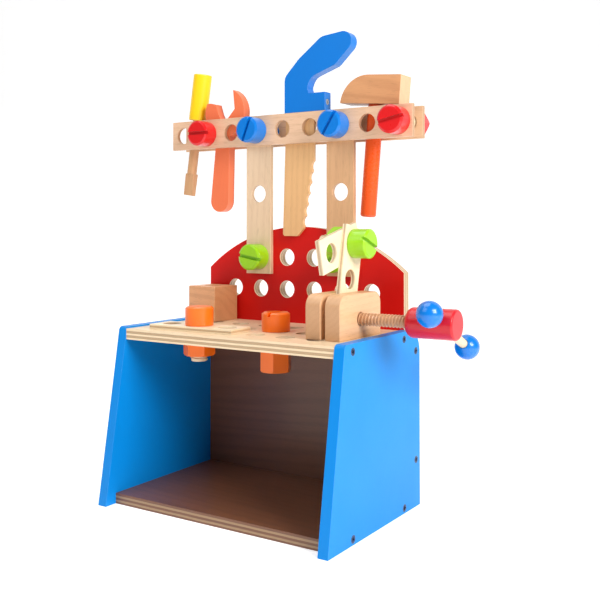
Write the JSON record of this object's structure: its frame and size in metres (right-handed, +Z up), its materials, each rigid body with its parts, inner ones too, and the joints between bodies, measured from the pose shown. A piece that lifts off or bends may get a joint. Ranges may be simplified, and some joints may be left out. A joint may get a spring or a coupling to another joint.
{
  "type": "toy workbench",
  "caption": "Wooden toy workbench with an arched pegboard, a tool rack, a screw vice, toy bolts and removable toy tools.",
  "frame": {"origin": "on the floor, under the middle of the backboard's front face", "axes": "+X to the right seen from the front, +Y to the back, +Z up"},
  "size_m": [0.331, 0.1756, 0.4152],
  "materials": {
    "panel_blue_paint": "sky blue paint",
    "table_plywood": "clear lacquered birch plywood",
    "red_board_paint": "bright red paint",
    "natural_plywood": "bare plywood",
    "beech": "clear lacquered beech",
    "light_plywood": "clear lacquered pale plywood",
    "red_paint": "glossy red paint",
    "royal_blue_paint": "glossy blue paint",
    "green_paint": "glossy lime green paint",
    "orange_paint": "glossy orange paint",
    "salmon_paint": "satin salmon orange paint",
    "yellow_paint": "glossy yellow paint",
    "dark_screws": "dark zinc"
  },
  "bodies": {
    "stand": {"left_panel": "panel_blue_paint", "right_panel": "panel_blue_paint", "table_top": "table_plywood", "backboard": "red_board_paint", "back_panel": "natural_plywood", "base_board": "natural_plywood", "panel_screws": "dark_screws", "left_upright": "beech", "right_upright": "beech", "front_strip": "beech", "rear_strip": "beech", "fixed_jaw": "beech"},
    "red_fastener_left": {"red_bolt_left": "red_paint", "red_nut_left": "red_paint"},
    "red_fastener_right": {"red_bolt_right": "red_paint", "red_nut_right": "red_paint"},
    "blue_fastener_left": {"blue_bolt_left": "royal_blue_paint", "blue_nut_left": "royal_blue_paint"},
    "blue_fastener_right": {"blue_bolt_right": "royal_blue_paint", "blue_nut_right": "royal_blue_paint"},
    "green_fastener_left": {"green_bolt_left": "green_paint", "green_nut_left": "green_paint"},
    "green_fastener_right": {"green_bolt_right": "green_paint", "green_nut_right": "green_paint"},
    "orange_fastener_left": {"orange_bolt_left": "orange_paint", "orange_nut": "orange_paint"},
    "orange_fastener_middle": {"orange_bolt_middle": "orange_paint", "orange_tall_nut": "orange_paint"},
    "loose_strip": {"table_strip": "light_plywood"},
    "loose_block": {"block": "beech"},
    "standing_plank": {"plank_long": "light_plywood"},
    "pivoting_plank": {"plank_short": "light_plywood"},
    "plank_fastener": {"plank_bolt": "green_paint", "plank_nut": "green_paint"},
    "vice_jaw": {"moving_jaw": "beech"},
    "vice_spindle": {"vice_screw": "beech", "vice_knob": "red_paint"},
    "vice_bar": {"sliding_bar": "beech", "ball_front": "royal_blue_paint", "ball_rear": "royal_blue_paint"},
    "screwdriver": {"screwdriver_handle": "yellow_paint", "screwdriver_shaft": "beech"},
    "wrench": {"wrench": "salmon_paint"},
    "saw": {"saw_handle": "royal_blue_paint", "saw_blade": "beech", "saw_pin": "dark_screws"},
    "hammer": {"hammer_head": "beech", "hammer_handle": "orange_paint"}
  },
  "joints": [
    {"name": "red_left_turn", "type": "hinge", "parent": "stand", "child": "red_fastener_left", "pos_m": [-0.105, 0, 0.331], "axis": [0, -1, 0], "continuous": true},
    {"name": "red_right_turn", "type": "hinge", "parent": "stand", "child": "red_fastener_right", "pos_m": [0.105, 0, 0.331], "axis": [0, -1, 0], "continuous": true},
    {"name": "blue_left_turn", "type": "hinge", "parent": "stand", "child": "blue_fastener_left", "pos_m": [-0.045, 0, 0.331], "axis": [0, -1, 0], "continuous": true},
    {"name": "blue_right_turn", "type": "hinge", "parent": "stand", "child": "blue_fastener_right", "pos_m": [0.045, 0, 0.331], "axis": [0, -1, 0], "continuous": true},
    {"name": "green_left_turn", "type": "hinge", "parent": "stand", "child": "green_fastener_left", "pos_m": [-0.045, 0, 0.211], "axis": [0, -1, 0], "continuous": true},
    {"name": "green_right_turn", "type": "hinge", "parent": "stand", "child": "green_fastener_right", "pos_m": [0.045, 0, 0.211], "axis": [0, -1, 0], "continuous": true},
    {"name": "orange_left_turn", "type": "hinge", "parent": "stand", "child": "orange_fastener_left", "pos_m": [-0.045, -0.092, 0.15], "axis": [0, 0, 1], "continuous": true},
    {"name": "orange_middle_turn", "type": "hinge", "parent": "stand", "child": "orange_fastener_middle", "pos_m": [0.015, -0.062, 0.15], "axis": [0, 0, 1], "continuous": true},
    {"name": "table_strip_swing", "type": "hinge", "parent": "stand", "child": "loose_strip", "pos_m": [-0.045, -0.092, 0.15], "axis": [0, 0, 1], "continuous": true},
    {"name": "block_lift", "type": "slide", "parent": "stand", "child": "loose_block", "axis": [0, 0, 1], "range_m": [0, 0.06]},
    {"name": "plank_tilt", "type": "hinge", "parent": "stand", "child": "standing_plank", "pos_m": [0.08, -0.0615, 0.1652], "axis": [1, 0, 0], "range_deg": [0, 12]},
    {"name": "plank_bolt_turn", "type": "hinge", "parent": "standing_plank", "child": "plank_fastener", "pos_m": [0.08, -0.04803, 0.22573], "axis": [1, 0, 0], "continuous": true},
    {"name": "short_plank_swing", "type": "hinge", "parent": "standing_plank", "child": "pivoting_plank", "pos_m": [0.08, -0.04803, 0.22573], "axis": [1, 0, 0], "range_deg": [-45, 4]},
    {"name": "jaw_slide", "type": "slide", "parent": "stand", "child": "vice_jaw", "axis": [-1, 0, 0], "range_m": [0, 0.035]},
    {"name": "screw_turn", "type": "hinge", "parent": "vice_jaw", "child": "vice_spindle", "pos_m": [0.1, -0.0615, 0.1652], "axis": [-1, 0, 0], "range_deg": [0, 4200]},
    {"name": "bar_slide", "type": "slide", "parent": "vice_spindle", "child": "vice_bar", "axis": [0, -0.9114, 0.4115], "range_m": [0, 0.0345]},
    {"name": "screwdriver_lift", "type": "slide", "parent": "stand", "child": "screwdriver", "axis": [0.1426, 0, 0.9898], "range_m": [0, 0.1]},
    {"name": "wrench_lift", "type": "slide", "parent": "stand", "child": "wrench", "axis": [0.1149, 0, 0.9934], "range_m": [0, 0.11]},
    {"name": "saw_lift", "type": "slide", "parent": "stand", "child": "saw", "axis": [0, 0, 1], "range_m": [0, 0.13]},
    {"name": "hammer_lift", "type": "slide", "parent": "stand", "child": "hammer", "axis": [0.0837, 0, 0.9965], "range_m": [0, 0.028]}
  ],
  "couplings": [
    {"joint": "jaw_slide", "follows": "screw_turn", "m_per_rad": 0.00047746}
  ]
}
